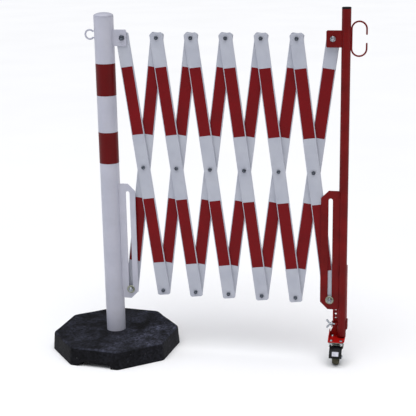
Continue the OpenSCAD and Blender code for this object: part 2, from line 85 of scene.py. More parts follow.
def addNode(tree, kind, settings=None, links=None, output=0):
    # a setting goes to the input of that name or number, or else to the node itself; "stops" are a
    # ramp's positions with their colours or greys; the output asked for is given back
    node = tree.nodes.new("ShaderNode" + kind)
    for name, value in (settings or {}).items():
        if name == "stops":
            bands = node.color_ramp.elements
            while len(bands) < len(value):
                bands.new(0.5)
            for band, (position, tone) in zip(bands, value):
                band.position = position
                band.color = linear(tone) if isinstance(tone, str) else (tone, tone, tone, 1)
        elif isinstance(name, int) or name in node.inputs:
            node.inputs[name].default_value = value
        else:
            setattr(node, name, value)
    for name, source in (links or {}).items():
        if source:
            tree.links.new(source, node.inputs[name])
    return node.outputs[output] if node.outputs else None


# Shapes are grids of points. A shape is (points, faces): points in millimetres, faces as rows of
# point numbers.

def ringSkin(rings, loop=False):
    # rings has the shape (rows, columns, 3): neighbouring rings are joined by quads, the first and last
    # are closed by a fan round their middle, or joined to each other in a loop
    rows, columns = rings.shape[:2]
    number = np.arange(rows * columns).reshape(rows, columns)
    if loop:
        number = np.vstack([number, number[:1]])
    right = np.roll(number, -1, axis=1)
    faces = np.stack([number[:-1], right[:-1], right[1:], number[1:]], axis=-1).reshape(-1, 4).tolist()
    points = rings.reshape(-1, 3)
    if not loop:
        for ring, turn in ((0, 1), (rows - 1, -1)):
            fan = np.stack([np.full(columns, len(points)), right[ring], number[ring]], axis=-1)[:, ::turn]
            points = np.vstack([points, rings[ring].mean(axis=0)])
            faces += fan.tolist()
    return points, faces


def joined(*shapes):
    points, faces, start = [], [], 0
    for shapePoints, shapeFaces in shapes:
        points.append(shapePoints)
        faces += [[start + i for i in face] for face in shapeFaces]
        start += len(shapePoints)
    return np.vstack(points), faces


def placed(shape, origin, along, side=(0, 0, 1)):
    # turns a shape made round +Z so that it stands along another direction, with its +X towards side
    z = np.array(along, float) / np.linalg.norm(along)
    x = np.array(side, float) - np.dot(side, z) * z
    if np.linalg.norm(x) < 1e-6:
        x = np.cross([0, 1, 0], z)
    x = x / np.linalg.norm(x)
    turn = np.stack([x, np.cross(z, x), z])
    return shape[0] @ turn + np.array(origin, float), shape[1]


def flipped(shape, at):
    # the same shape looking the other way from a height, faces turned to stay outward
    points = shape[0] * np.array([1, 1, -1.0]) + np.array([0, 0, at])
    return points, [face[::-1] for face in shape[1]]


def turned(radius, height, angle):
    # rings round +Z: radius and height have a row for each ring, and a column for each angle or one for all
    return np.stack([radius * np.cos(angle), radius * np.sin(angle), height + 0 * angle], axis=-1)


def lathe(profile, sides=64, flats=0, loop=False):
    # each profile point (radius, height) is carried round +Z; with flats, the radius is also kept
    # inside a hexagonal prism that wide across its flats, which gives a chamfered nut or bolt head
    profile = np.array(profile, float)
    angle = np.arange(sides) * tau / sides
    radius = profile[:, :1]
    if flats:
        toFlat = np.mod(angle, tau / 6) - tau / 12
        radius = np.minimum(radius, flats / 2 / np.cos(toFlat))
    return ringSkin(turned(radius, profile[:, 1:], angle), loop)


def wire(path, radius, roundEnds=True, sides=20):
    # a circle carried along a path in the X-Z plane; the radius follows a quarter circle at each end
    path = np.array(path, float)
    ahead = np.roll(path, -1, axis=0) - np.roll(path, 1, axis=0)
    ahead[0], ahead[-1] = path[1] - path[0], path[-1] - path[-2]
    ahead /= np.linalg.norm(ahead, axis=1)[:, None]
    outward = np.stack([ahead[:, 2], ahead[:, 1] * 0, -ahead[:, 0]], axis=1)
    across = np.array([0, 1, 0.0])
    size = np.ones(len(path)) * radius
    if roundEnds:
        step = np.linalg.norm(np.diff(path, axis=0), axis=1)
        run = np.concatenate([[0], np.cumsum(step)])
        fromEnd = np.minimum(run, run[-1] - run)
        size = radius * np.sqrt(1 - (1 - np.clip(fromEnd / radius, 0.03, 1)) ** 2)
    angle = np.arange(sides) * tau / sides
    circle = np.cos(angle)[None, :, None] * outward[:, None, :] + np.sin(angle)[None, :, None] * across
    return ringSkin(path[:, None, :] + size[:, None, None] * circle)


bead = {
    "row": 0.7,                   # length of one row of its mesh
    "step": 2.1, "swell": 0.13,   # length of one step of the torch, and how much it swells the radius
    "drift": 5.3, "sway": 0.07,   # a longer, weaker wave of the hand
}


def weldBead(start, end, radius, seed):
    # a bead laid in small steps: its radius swells and sinks once for each step of the torch
    start, end = np.array(start, float), np.array(end, float)
    length = np.linalg.norm(end - start)
    t = np.linspace(0, 1, max(8, int(length / bead["row"])))
    ripple = (1 + bead["swell"] * np.sin(t * length / bead["step"] * tau + seed)
              + bead["sway"] * np.sin(t * length / bead["drift"] * tau + 2 * seed))
    endTaper = np.sqrt(np.clip(np.minimum(t, 1 - t) * length / radius, 0.02, 1))
    size = radius * ripple * endTaper
    rings = turned(size[:, None], (t * length)[:, None], np.arange(12) * tau / 12)
    return placed(ringSkin(rings), start, end - start, side=(0, 1, 0.01))


def addObject(name, data):
    thing = bpy.data.objects.new(name, data)
    bpy.context.scene.collection.objects.link(thing)
    return thing


def addPiece(name, shape, material, body, stands=(), sharpAngle=35):
    mesh = bpy.data.meshes.new(name)
    mesh.from_pydata((shape[0] * mm).tolist(), [], shape[1])
    mesh.validate()
    return finishPiece(name, mesh, material, body, stands, sharpAngle)


def finishPiece(name, mesh, material, body, stands, sharpAngle):
    piece = addObject(name, mesh)
    mesh.shade_smooth()
    mesh.set_sharp_from_angle(angle=math.radians(sharpAngle))
    mesh.materials.append(material)
    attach(piece, body)
    if stands:
        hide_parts(*stands)
    return piece


def softCopy(node, name, width, material):
    # a CAD piece with its edges broken: its triangles are merged into flat faces, then bevelled
    source = frame["nodes"][node]
    mesh = bpy.data.meshes.new(name)
    work = bmesh.new()
    work.from_mesh(source.data)
    bmesh.ops.remove_doubles(work, verts=work.verts, dist=2e-6)
    bmesh.ops.dissolve_limit(work, angle_limit=math.radians(0.4), verts=work.verts, edges=work.edges)
    work.to_mesh(mesh)
    work.free()
    oldNormals = mesh.attributes.get("custom_normal")
    if oldNormals:
        mesh.attributes.remove(oldNormals)
    piece = finishPiece(name, mesh, material, source["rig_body"], (node,), 30)
    bevel = piece.modifiers.new("brokenEdges", "BEVEL")
    bevel.width = width * mm
    bevel.segments = 3
    bevel.limit_method = "ANGLE"
    bevel.angle_limit = math.radians(30)
    bevel.harden_normals = True
    bevel.use_clamp_overlap = True


def dress(node, material):
    # a CAD piece that is shown as it is, in this material
    materials = frame["nodes"][node].data.materials
    materials.clear()
    materials.append(material)


# Every pattern lies on Object coordinates and takes its scale from a size in millimetres.

def perGrain(sizeMm):
    # a texture's scale is one over the size of its grain in metres
    return 1 / (sizeMm * mm)


def newMaterial(name):
    material = bpy.data.materials.new(name)
    material.use_nodes = True
    material.node_tree.nodes.clear()
    add = partial(addNode, material.node_tree)
    return material, add, add("TexCoord", output="Object")


def powderCoat(name, look):
    # polyester powder baked on metal: satin, with the shallow orange peel of melted powder,
    # and a little road dust that dulls it in patches
    material, add, place = newMaterial(name)
    patches = add("TexNoise", {"Scale": perGrain(look["patchMm"]), "Detail": 4.0}, {"Vector": place})
    patches = add("ValToRGB", {"stops": [(0.35, 0.0), (0.7, 1.0)]}, {"Fac": patches})
    grime = add("TexNoise", {"Scale": perGrain(look["grimeMm"]), "Detail": 8.0, "Roughness": 0.65},
                {"Vector": place})
    grime = add("ValToRGB", {"stops": [(0.5, 0.0), (0.78, 1.0)]}, {"Fac": grime})
    grime = add("Math", {"operation": "MULTIPLY", 1: look["grime"]}, {0: grime})
    colour = add("Mix", {"data_type": "RGBA", 6: linear(look["clean"]), 7: linear(look["worn"])},
                 {0: patches}, 2)
    colour = add("Mix", {"data_type": "RGBA", 7: linear(look["dust"])}, {0: grime, 6: colour}, 2)
    rough = look["roughness"]
    roughness = add("ValToRGB", {"stops": [(0.0, rough), (1.0, rough + 0.12)]}, {"Fac": patches})
    peel = add("TexNoise", {"Scale": perGrain(look["peelMm"]), "Detail": 2.0}, {"Vector": place})
    swell = add("TexNoise", {"Scale": perGrain(14), "Detail": 2.0}, {"Vector": place})
    normal = add("Bump", {"Distance": 0.05 * mm}, {"Height": peel})
    normal = add("Bump", {"Distance": 0.12 * mm}, {"Height": swell, "Normal": normal})
    surface = add("BsdfPrincipled", {"IOR": 1.5, "Specular IOR Level": look["gloss"]},
                  {"Base Color": colour, "Roughness": roughness, "Normal": normal})
    add("OutputMaterial", None, {"Surface": surface})
    return material


coats = {
    "whitePowderCoat": {"clean": "#BBBBC7", "worn": "#B0B1BE", "dust": "#959493", "patchMm": 90, "grimeMm": 35,
                        "grime": 0.16, "roughness": 0.36, "gloss": 0.5, "peelMm": 1.6},
    "slatPowderCoat": {"clean": "#B7BAC4", "worn": "#ADB0BC", "dust": "#8E8E92", "patchMm": 70, "grimeMm": 22,
                       "grime": 0.16, "roughness": 0.4, "gloss": 0.45, "peelMm": 1.4},
    "redPowderCoat": {"clean": "#72090A", "worn": "#610708", "dust": "#430C0A", "patchMm": 60, "grimeMm": 18,
                      "grime": 0.16, "roughness": 0.3, "gloss": 0.14, "peelMm": 1.4},
    "footPowderCoat": {"clean": "#AC100C", "worn": "#980C0A", "dust": "#661A15", "patchMm": 30, "grimeMm": 12,
                       "grime": 0.28, "roughness": 0.34, "gloss": 0.16, "peelMm": 1.2},
}
whitePowderCoat, slatPowderCoat, redPowderCoat, footPowderCoat = (
    powderCoat(name, look) for name, look in coats.items())


def reflectiveFilm(name, deep, bright, wall):
    # retroreflective sheet: a clear smooth face over a cell pattern of about 3 mm, drawn faintly
    material, add, place = newMaterial(name)
    cells = add("TexVoronoi", {"Scale": perGrain(3.2), "feature": "DISTANCE_TO_EDGE"},
                {"Vector": place}, "Distance")
    walls = add("ValToRGB", {"stops": [(0.0, 1.0), (0.08, 0.0)]}, {"Fac": cells})
    clouds = add("TexNoise", {"Scale": perGrain(60), "Detail": 5.0}, {"Vector": place})
    sheet = add("ValToRGB", {"stops": [(0.3, deep), (0.75, bright)]}, {"Fac": clouds})
    share = add("Math", {"operation": "MULTIPLY", 1: 0.3}, {0: walls})
    colour = add("Mix", {"data_type": "RGBA", 7: linear(wall)}, {0: share, 6: sheet}, 2)
    smears = add("TexNoise", {"Scale": perGrain(30), "Detail": 6.0}, {"Vector": place})
    roughness = add("ValToRGB", {"stops": [(0.3, 0.28), (0.7, 0.42)]}, {"Fac": smears})
    ripple = add("TexNoise", {"Scale": perGrain(25), "Detail": 2.0}, {"Vector": place})
    normal = add("Bump", {"Distance": 0.01 * mm}, {"Height": walls})
    normal = add("Bump", {"Distance": 0.08 * mm}, {"Height": ripple, "Normal": normal})
    surface = add("BsdfPrincipled", {"Specular IOR Level": 0.12},
                  {"Base Color": colour, "Roughness": roughness, "Normal": normal})
    add("OutputMaterial", None, {"Surface": surface})
    return material


redFilm = reflectiveFilm("redReflectiveFilm", "#6A0A10", "#760B12", "#86151B")
postFilm = reflectiveFilm("deepRedReflectiveFilm", "#5A0A0C", "#640B0E", "#741416")


def platedZinc(name, light, dark, roughness):
    # electroplated zinc: bright but milky, with the grey bloom of a first season outdoors
    material, add, place = newMaterial(name)
    bloom = add("TexNoise", {"Scale": perGrain(5), "Detail": 6.0, "Roughness": 0.6}, {"Vector": place})
    bloom = add("ValToRGB", {"stops": [(0.35, 0.0), (0.7, 1.0)]}, {"Fac": bloom})
    colour = add("Mix", {"data_type": "RGBA", 6: linear(light), 7: linear(dark)}, {0: bloom}, 2)
    duller = add("ValToRGB", {"stops": [(0.0, roughness), (1.0, roughness + 0.2)]}, {"Fac": bloom})
    grain = add("TexNoise", {"Scale": perGrain(0.8), "Detail": 3.0}, {"Vector": place})
    normal = add("Bump", {"Distance": 0.03 * mm}, {"Height": grain})
    surface = add("BsdfPrincipled", {"Metallic": 1.0},
                  {"Base Color": colour, "Roughness": duller, "Normal": normal})
    add("OutputMaterial", None, {"Surface": surface})
    return material


brightZinc = platedZinc("brightZinc", "#B4B9C0", "#74797F", 0.24)
# a darker copy of the plated zinc for the nuts: painted shade for the shadow and dark reflections that small
# nuts show
nutZincPaintedShade = platedZinc("darkNutZincPaintedShade", "#6E747E", "#33363C", 0.2)
yellowZinc = platedZinc("yellowZinc", "#A3A795", "#6F7363", 0.3)      # chromated washers, dulled to grey straw
castorZinc = platedZinc("castorZinc", "#8F958E", "#565B55", 0.32)


def mouldedPlastic(name, clean, dusty, roughness, gloss, grainMm=0.9, depthMm=0.03):
    # injection moulded: even colour, fine spark-eroded grain, dust lying in it
    material, add, place = newMaterial(name)
    dust = add("TexNoise", {"Scale": perGrain(9), "Detail": 7.0, "Roughness": 0.6}, {"Vector": place})
    dust = add("ValToRGB", {"stops": [(0.42, 0.0), (0.75, 0.8)]}, {"Fac": dust})
    colour = add("Mix", {"data_type": "RGBA", 6: linear(clean), 7: linear(dusty)}, {0: dust}, 2)
    duller = add("ValToRGB", {"stops": [(0.0, roughness), (1.0, roughness + 0.2)]}, {"Fac": dust})
    grain = add("TexNoise", {"Scale": perGrain(grainMm), "Detail": 3.0}, {"Vector": place})
    normal = add("Bump", {"Distance": depthMm * mm}, {"Height": grain})
    surface = add("BsdfPrincipled", {"Specular IOR Level": gloss},
                  {"Base Color": colour, "Roughness": duller, "Normal": normal})
    add("OutputMaterial", None, {"Surface": surface})
    return material


blackPlastic = mouldedPlastic("blackMouldedPlastic", "#0B0B0E", "#1C1C20", 0.42, 0.12)
palePlastic = mouldedPlastic("paleMouldedPlastic", "#C9C9D6", "#A3A2A6", 0.42, 0.4)
treadRubber = mouldedPlastic("greyTreadRubber", "#403E30", "#595645", 0.75, 0.2, 1.4, 0.12)


def granulateRubber():
    # bound tyre granulate pressed in a mould: crumbs of 3 to 5 mm, a pitted skin, grey scuffs and dust on
    # the top, the scuffs stronger towards +X, and a painted highlight along the rounded top edge
    material, add, place = newMaterial("recycledGranulateRubber")
    crumbs = add("TexVoronoi", {"Scale": perGrain(6.5)}, {"Vector": place}, "Color")
    crumbTone = add("ValToRGB", {"stops": [(0.1, "#0B0B0D"), (0.85, "#19191D")]}, {"Fac": crumbs})
    wear = add("TexNoise", {"Scale": perGrain(60), "Detail": 9.0, "Roughness": 0.68}, {"Vector": place})
    wear = add("ValToRGB", {"stops": [(0.42, 0.0), (0.6, 1.0)]}, {"Fac": wear})
    fine = add("TexNoise", {"Scale": perGrain(7), "Detail": 8.0, "Roughness": 0.7}, {"Vector": place})
    fine = add("ValToRGB", {"stops": [(0.42, 0.0), (0.66, 1.0)]}, {"Fac": fine})
    across = add("SeparateXYZ", None, {0: place}, "X")
    # scuffs keep a third of their strength at the post and rise to full 120 mm towards +X
    scuffShareAlongX = add("ValToRGB", {"stops": [(0.0, 0.35), (0.12, 1.0)]}, {"Fac": across})    # on the fence's side
    up = add("SeparateXYZ", None, {0: add("NewGeometry", output="Normal")}, "Z")
    facingUp = add("ValToRGB", {"stops": [(0.15, 0.1), (0.9, 1.0)]}, {"Fac": up})
    # scuffs: coarse wear times fine wear, only where the rubber faces up, and stronger towards +X
    multiply = {"data_type": "RGBA", "blend_type": "MULTIPLY", 0: 1.0}
    scuffs = add("Mix", multiply, {6: wear, 7: fine}, 2)
    scuffs = add("Mix", multiply, {6: scuffs, 7: facingUp}, 2)
    scuffs = add("Mix", {"data_type": "RGBA", 6: linear("#000000")}, {0: scuffShareAlongX, 7: scuffs}, 2)
    # the top edge, where the face turns from level to upright: a painted highlight of its rounding, broken into
    # patches by the wear noise
    edge = add("ValToRGB", {"stops": [(0.25, 0.0), (0.5, 1.0), (0.9, 0.8), (0.97, 0.0)]}, {"Fac": up})
    edgeHighlightAndWear = add("Mix", multiply, {6: add("ValToRGB", {"stops": [(0.0, 0.05), (1.0, 0.6)]}, {"Fac": wear}),
                                     7: add("ValToRGB", {"stops": [(0.0, 0.3), (1.0, 1.0)]}, {"Fac": fine})}, 2)
    edgeHighlightAndWear = add("Mix", multiply, {6: edge, 7: edgeHighlightAndWear}, 2)
    # real scuffs and the painted edge highlight, whichever is the stronger; both lighten the crumbs to the
    # blue-grey below and make the rubber rougher
    scuffsAndEdgeHighlight = add("Mix", {**multiply, "blend_type": "LIGHTEN"}, {6: scuffs, 7: edgeHighlightAndWear}, 2)
    colour = add("Mix", {"data_type": "RGBA", 7: linear("#63667A")}, {0: scuffsAndEdgeHighlight, 6: crumbTone}, 2)
    dust = add("TexNoise", {"Scale": perGrain(130), "Detail": 4.0}, {"Vector": place})
    dust = add("ValToRGB", {"stops": [(0.45, 0.0), (0.8, 0.25)]}, {"Fac": dust})
    dust = add("Mix", multiply, {6: dust, 7: facingUp}, 2)
    colour = add("Mix", {"data_type": "RGBA", 7: linear("#3A3B41")}, {0: dust, 6: colour}, 2)
    specks = add("TexVoronoi", {"Scale": perGrain(22)}, {"Vector": place})
    specks = add("ValToRGB", {"stops": [(0.0, 1.0), (0.06, 0.0)]}, {"Fac": specks})
    colour = add("Mix", {"data_type": "RGBA", 7: linear("#8F9094")}, {0: specks, 6: colour}, 2)
    roughness = add("ValToRGB", {"stops": [(0.0, 0.62), (1.0, 0.9)]}, {"Fac": scuffsAndEdgeHighlight})
    pits = add("TexNoise", {"Scale": perGrain(2.2), "Detail": 5.0, "Roughness": 0.7}, {"Vector": place})
    sink = add("TexNoise", {"Scale": perGrain(30), "Detail": 4.0}, {"Vector": place})
    normal = None
    for height, depthMm in ((crumbs.node.outputs["Distance"], 0.5), (pits, 0.55), (sink, 0.9)):
        normal = add("Bump", {"Distance": depthMm * mm}, {"Height": height, "Normal": normal})
    surface = add("BsdfPrincipled", {"Specular IOR Level": 0.07},
                  {"Base Color": colour, "Roughness": roughness, "Normal": normal})
    add("OutputMaterial", None, {"Surface": surface})
    return material


baseRubber = granulateRubber()
print("materials made")


foot = {
    "turn": 17,            # degrees, as the octagon stands about the post
    "cornerNorm": 90,      # higher is a sharper corner
    "edgeRound": 10,       # radius of the worn top edge
    "lean": 5.0,           # how far a side leans in over its whole height
    "topSag": 1.2,         # how far the top sinks halfway from its edge to the socket
    "socket": 30.4,        # radius of the post's socket
    "socketFloor": 6.2,
    "gripReach": 54,       # a hand recess: half its length at the floor, its height and its depth
    "gripHigh": 14,
    "gripDeep": 30,
    "columns": 600,
}
halfSide = 22.5            # degrees, half of one side of an octagon


def octagonRadius(angle, flatRadius):
    # the inverse of a high norm of the distances to the eight sides: straight sides, worn round corners
    sides = math.radians(foot["turn"] + halfSide) + np.arange(8) * tau / 8
    reach = np.clip(np.cos(angle[:, None] - sides[None]), 0, None) / flatRadius
    return (reach ** foot["cornerNorm"]).sum(axis=1) ** (-1 / foot["cornerNorm"])


def smoothStep(x):
    t = np.clip(x, 0, 1)
    return t * t * (3 - 2 * t)


def footPlateShape():
    low, high = box("base_plate")
    top, edge, lean = high[2], foot["edgeRound"], foot["lean"]
    socket, gripHigh = foot["socket"], foot["gripHigh"]
    angle = np.arange(foot["columns"]) * tau / foot["columns"]
    offAxis = foot["turn"] % 45
    corner = (high[0] - low[0]) / 2 / math.cos(math.radians(min(offAxis, 45 - offAxis)))
    outline = octagonRadius(angle, corner * math.cos(math.radians(halfSide)))
    # the outer skin as rows of (inset from the floor outline, height), two of them close to the recess's roof
    heights = [np.arange(2.5, gripHigh - 1, 2.5), [gripHigh - 0.6, gripHigh + 0.4],
               np.arange(gripHigh + 3, top - edge, 3.2)]
    side = [(0.8, 0.0), (0.0, 1.0)] + [(lean * z / top, z) for z in np.concatenate(heights)]
    rounded = [(lean * (top - edge) / top + edge * (1 - math.cos(a)), top - edge + edge * math.sin(a))
               for a in np.linspace(0, math.pi / 2, 9)]
    skin = np.array(side + rounded)
    radius = outline[None, :] - skin[:, :1]
    height = np.repeat(skin[:, 1:], len(angle), axis=1)
    # hand recesses: the side is pushed in below the grip's height, its left end sloping up
    reach = foot["gripReach"]
    for k in (0, 1):
        facing = math.radians(foot["turn"] - 5 * halfSide + 180 * k)
        along = radius * np.sin(angle - facing)
        ahead = np.cos(angle - facing)[None, :] > 0.5
        inside = smoothStep((along + reach - height * 1.1) / 2) * smoothStep((reach - along) / 2)
        radius = radius - ahead * foot["gripDeep"] * inside * (height < gripHigh)
    # the top runs from the worn edge in to the socket
    share = np.linspace(0, 1, 62)[1:, None] ** 0.9
    topRadius = radius[-1][None, :] * (1 - share) + (socket + 1.2) * share
    x, y = topRadius * np.cos(angle), topRadius * np.sin(angle)
    # it sags, is worn in slow waves, and has a faint ring left by the mould
    arch = np.sin(share * math.pi)
    worn = 0.35 * np.sin(x / 23 + 1.3) * np.sin(y / 31) + 0.25 * np.sin(x / 9.1 + y / 13.7)
    ring = 0.8 * np.exp(-((np.hypot(x + 88, y + 62) - 33) / 1.8) ** 2)
    topHeight = top - foot["topSag"] * arch - np.abs(worn) * arch - ring
    # the side is not quite even either, but it keeps its outline at the floor
    wobble = 0.5 * np.sin(5 * angle + 1) + 0.35 * np.sin(13 * angle)
    radius += wobble * smoothStep(height / 10)
    wallHeight = np.array([[top - 1.4], [30.0], [foot["socketFloor"]]]) + 0 * angle
    radius = np.vstack([radius, topRadius, socket + 0 * wallHeight])
    return ringSkin(turned(radius, np.vstack([height, topHeight, wallHeight]), angle))


addPiece("footPlate", footPlateShape(), baseRubber, "foot_plate_body", ("base_plate",), 50)
print("foot plate made")

postLow, postHigh = box("post_tube")
postRadius = (postHigh[0] - postLow[0]) / 2
postTop = postHigh[2]
postCap = {"deep": 17, "rim": 2.2}     # how far it is pushed in, and the height of its rolled rim


def postCapShape():
    # a pressed-in cap: rolled rim, then a quarter ellipse up to the crown
    rise = box("post_cap")[1][2] - postTop
    dome = [((postRadius - 0.1) * math.cos(a), postTop + postCap["rim"] + (rise - postCap["rim"]) * math.sin(a))
            for a in np.linspace(0, math.pi / 2, 18)[:-1]]
    rim = [(postRadius - inset, postTop + z) for inset, z in (
        (3, -postCap["deep"]), (2.6, -1), (1.2, 0.1), (0.3, 0.5), (0, 1.2))]
    return lathe(rim + dome, 96)


addPiece("postCap", postCapShape(), whitePowderCoat, "post", ("post_cap",), 60)
for node, material in (("upper_band", postFilm), ("lower_band", postFilm), ("post_tube", whitePowderCoat)):
    dress(node, material)

eye = {"gap": 38, "weldAt": 9.5}       # degrees open on each side at the post, and height of its two welds


def eyeShape():
    low, high = box("chain_eye")
    thick, tall = high[1] - low[1], high[2] - low[2]
    x, z, reach = low[0] + tall / 2, (low[2] + high[2]) / 2, (tall - thick) / 2
    gap = math.radians(eye["gap"])
    path = [[x + reach * math.cos(a), 0, z + reach * math.sin(a)] for a in np.linspace(gap, tau - gap, 60)]
    blob = lathe([(1.5, -3.6), (3.2, -2.4), (3.7, 0), (3.2, 2.4), (1.5, 3.6)], 24)
    blobs = [placed(blob, (-postRadius + 0.3, 0, z + s * eye["weldAt"]), (-0.6, 0, s)) for s in (-1, 1)]
    return joined(wire(path, thick / 2, roundEnds=False), *blobs)


addPiece("chainEye", eyeShape(), whitePowderCoat, "post", ("chain_eye",), 60)

plateLow, plateHigh = box("left_guide_plate")
plateFront, plateBack = plateLow[1], plateHigh[1]
tubeLow, tubeHigh = box("wheel_post_tube")
tubeX = (tubeLow[0] + tubeHigh[0]) / 2
tubeRadius = (tubeHigh[0] - tubeLow[0]) / 2
plateWeld = {
    "radius": 1.9, "off": 0.7,           # how far each bead's middle stands off the plate
    "every": 105, "length": 24,          # along a guide plate
    "short": 5,                          # along a bracket it is this much shorter than the bracket
}


def plateWelds(postX, radius, towards, low, high, every, length):
    # beads on both faces of a plate, where it meets the round of its post
    beads = []
    count = max(1, round((high - low - length) / every) + 1)
    for k in range(count):
        start = low + 2 + (high - low - length - 4) * (k / (count - 1) if count > 1 else 0.5)
        for j, y in enumerate((plateFront, plateBack)):
            x = postX + towards * (math.sqrt(radius ** 2 - y ** 2) + 0.5)
            outside = y + (plateWeld["off"] if j else -plateWeld["off"])
            beads.append(weldBead((x, outside, start), (x, outside, start + length),
                                  plateWeld["radius"], k + j))
    return joined(*beads)


for side, postX, radius, towards, material, slot, body in (
        ("left", 0.0, postRadius, 1, whitePowderCoat, "steel_white", "post"),
        ("right", tubeX, tubeRadius, -1, redPowderCoat, "paint_red", "castor_post")):
    softCopy(side + "_pivot_bracket", side + "PivotBracket", 0.7, material)
    softCopy(side + "_guide_plate", side + "GuidePlate", 0.7, material)
    low, high = (corner[2] for corner in box(side + "_guide_plate"))
    shape = plateWelds(postX, radius, towards, low, high, plateWeld["every"], plateWeld["length"])
    addPiece(side + "GuideWelds", shape, material, body, (), 60)
    low, high = (corner[2] for corner in box(side + "_pivot_bracket"))
    shape = plateWelds(postX, radius, towards, low, high, high - low, high - low - plateWeld["short"])
    addPiece(side + "BracketWelds", shape, material, body, (), 60)
print("post, brackets and guide plates made")

slat = {
    "width": 40.0,
    "overhang": 15.0,        # past its end pivots
    "edgeRound": 1.6,
    "grooveAt": 15.3,        # shallow drawn lines along both edges
    "grooveDeep": 0.28,
    "grooveWide": 0.7,
    "cut": 4.0,              # corner cut at the ends
    "film": 0.14,
    "filmWidth": 35.0,
    "bands": ((88, 296), (499, 707)),    # from the top pivot down
}
joints = {j["name"]: np.array(j["pos_m"], float) / mm for j in frame["joints"] if "pos_m" in j}
topPivots = [joints["fence_fold"], *(joints["top_pivot_%d" % i] for i in range(2, 7)),
             joints["castor_post_pivot"]]
crossingPivots = [joints["crossing_%d" % i] for i in range(1, 7)]
span = 2 * np.hypot(*(topPivots[0] - crossingPivots[0])[[0, 2]])
backward = np.array([0, 1.0, 0])         # from the front of the fence to its back


def slatFrame(top, middle):
    # the top pivot on the fence's middle plane, the direction down the slat, and the one across it
    down = np.array([middle[0] - top[0], 0, middle[2] - top[2]])
    down /= np.linalg.norm(down)
    return np.array([top[0], 0, top[2]]), down, np.array([-down[2], 0, down[0]])


def faceDepth(u):
    # the face is flat but for two shallow grooves, each a bell-shaped dip
    return slat["grooveDeep"] * np.exp(-((np.abs(u) - slat["grooveAt"]) / slat["grooveWide"]) ** 2)


def slatShape(top, middle, y0, y1):
    start, down, across = slatFrame(top, middle)
    half, r, cut, overhang = slat["width"] / 2, slat["edgeRound"], slat["cut"], slat["overhang"]
    # the section, once round: front face, right edge, back face, left edge
    arc = np.linspace(0, math.pi / 2, 5)
    sine, cosine = r * np.sin(arc), r * np.cos(arc)
    groove = slat["grooveAt"] + slat["grooveWide"] * np.linspace(-2, 2, 9)
    face = np.unique(np.concatenate([-groove, groove, np.linspace(-half + r, half - r, 7)]))
    back = face[::-1]
    section = np.vstack([part.T for part in (
        np.array([face, y0 + faceDepth(face)]),
        np.array([half - r + sine, y0 + r - cosine])[:, 1:],
        np.array([half - r + cosine, y1 - r + sine]),
        np.array([back, y1 - faceDepth(back)])[:, 1:],
        np.array([-half + r - sine, y1 - r + cosine])[:, 1:],
        np.array([-half + r - cosine, y0 + r - sine])[:, :-1])])
    # down the slat: (distance from its end, width share, thickness share), both ends alike
    narrow = 1 - cut / half
    ends = [(0.0, narrow - 0.03, 0.72), (0.7, narrow, 1.0), (cut, 0.985, 1.0), (cut + 1.2, 1.0, 1.0)]
    length = span + 2 * overhang
    rows = [(v - overhang, w, t) for v, w, t in ends] + [(k * span / 8, 1, 1) for k in range(9)]
    rows += [(length - v - overhang, w, t) for v, w, t in ends[::-1]]
    v, w, t = np.array(rows).T
    middleY = (y0 + y1) / 2
    u = section[None, :, 0] * w[:, None]
    y = middleY + (section[None, :, 1] - middleY) * t[:, None]
    rings = start + v[:, None, None] * down + u[:, :, None] * across + y[:, :, None] * backward
    return ringSkin(rings[:, ::-1])


def filmShape(top, middle, y0, y1):
    # a strip of film on each face: it follows the grooves, a hair proud of the paint
    start, down, across = slatFrame(top, middle)
    half = slat["filmWidth"] / 2
    u = np.linspace(-half, half, 57)
    strips = []
    for y, sign in ((y0, -1), (y1, 1)):
        outer = y + sign * slat["film"] - sign * faceDepth(u) * 0.7
        inner = np.full(len(u), y - sign * 0.35)
        section = np.concatenate([np.stack([u, outer], axis=1), np.stack([u[::-1], inner], axis=1)])[::-sign]
        for bandTop, bandEnd in slat["bands"]:
            v = np.linspace(bandTop, bandEnd, 9)[:, None, None]
            rings = start + v * down + section[None, :, :1] * across + section[None, :, 1:] * backward
            strips.append(ringSkin(rings[:, ::-1]))
    return joined(*strips)


frontLow, frontHigh = box("front_slat_1")
rearLow, rearHigh = box("rear_slat_1")
for i in range(6):
    for layer, top, y0, y1 in (("front", topPivots[i], frontLow[1], frontHigh[1]),
                               ("rear", topPivots[i + 1], rearLow[1], rearHigh[1])):
        number, body = "%s%d" % (layer, i + 1), "%s_slat_%d" % (layer, i + 1)
        addPiece("slat_" + number, slatShape(top, crossingPivots[i], y0, y1), slatPowderCoat, body,
                 (body,), 40)
        addPiece("film_" + number, filmShape(top, crossingPivots[i], y0, y1), redFilm, body, (), 40)
print("slats made")

hardware = {
    "hole": 4.1,                                    # radius of a washer's hole
    "nutAcross": 11.0, "nutHigh": 5.0, "headHigh": 3.0,
    "bolt": 3.9, "boltPast": 1.4,                   # radius, and how far it stands past its nut
    "washer": 8.0, "middleWasher": 9.0,             # radii behind the slats and between them
    "postNutAcross": 14.0, "postNutHigh": 5.5, "postHeadHigh": 4.6, "postBoltPast": 1.9,
    "postWasher": 8.2, "postSpacer": 9.0,
    "slotNutHigh": 6.1, "slotBoltPast": 1.6,
    "bush": 5.9, "slotSpacer": 8.0,                 # radii in the slot and behind its plate
    "slotWasher": 12.5, "slotWasherHole": 6.3, "slotWasherThick": 1.6,
}
frontFace, rearFace = frontLow[1], rearHigh[1]


def nut(across, low, high, boltRadius, domed=False):
    # a hexagon cut by a cone at both ends, so its corners are worn to arcs
    chamfer, corner = across * 0.07, across / 2 / math.cos(math.pi / 6)
    flatTop = across / 2 * 0.93
    profile = [(flatTop, low), (corner, low + chamfer), (corner, high - chamfer), (flatTop, high)]
    if domed:
        profile += [(flatTop * 0.6, high + 0.25), (flatTop * 0.3, high + 0.05)]
    else:
        profile += [(boltRadius * 1.12, high), (boltRadius * 1.02, high - 0.5)]
    return lathe(profile, 48, across)


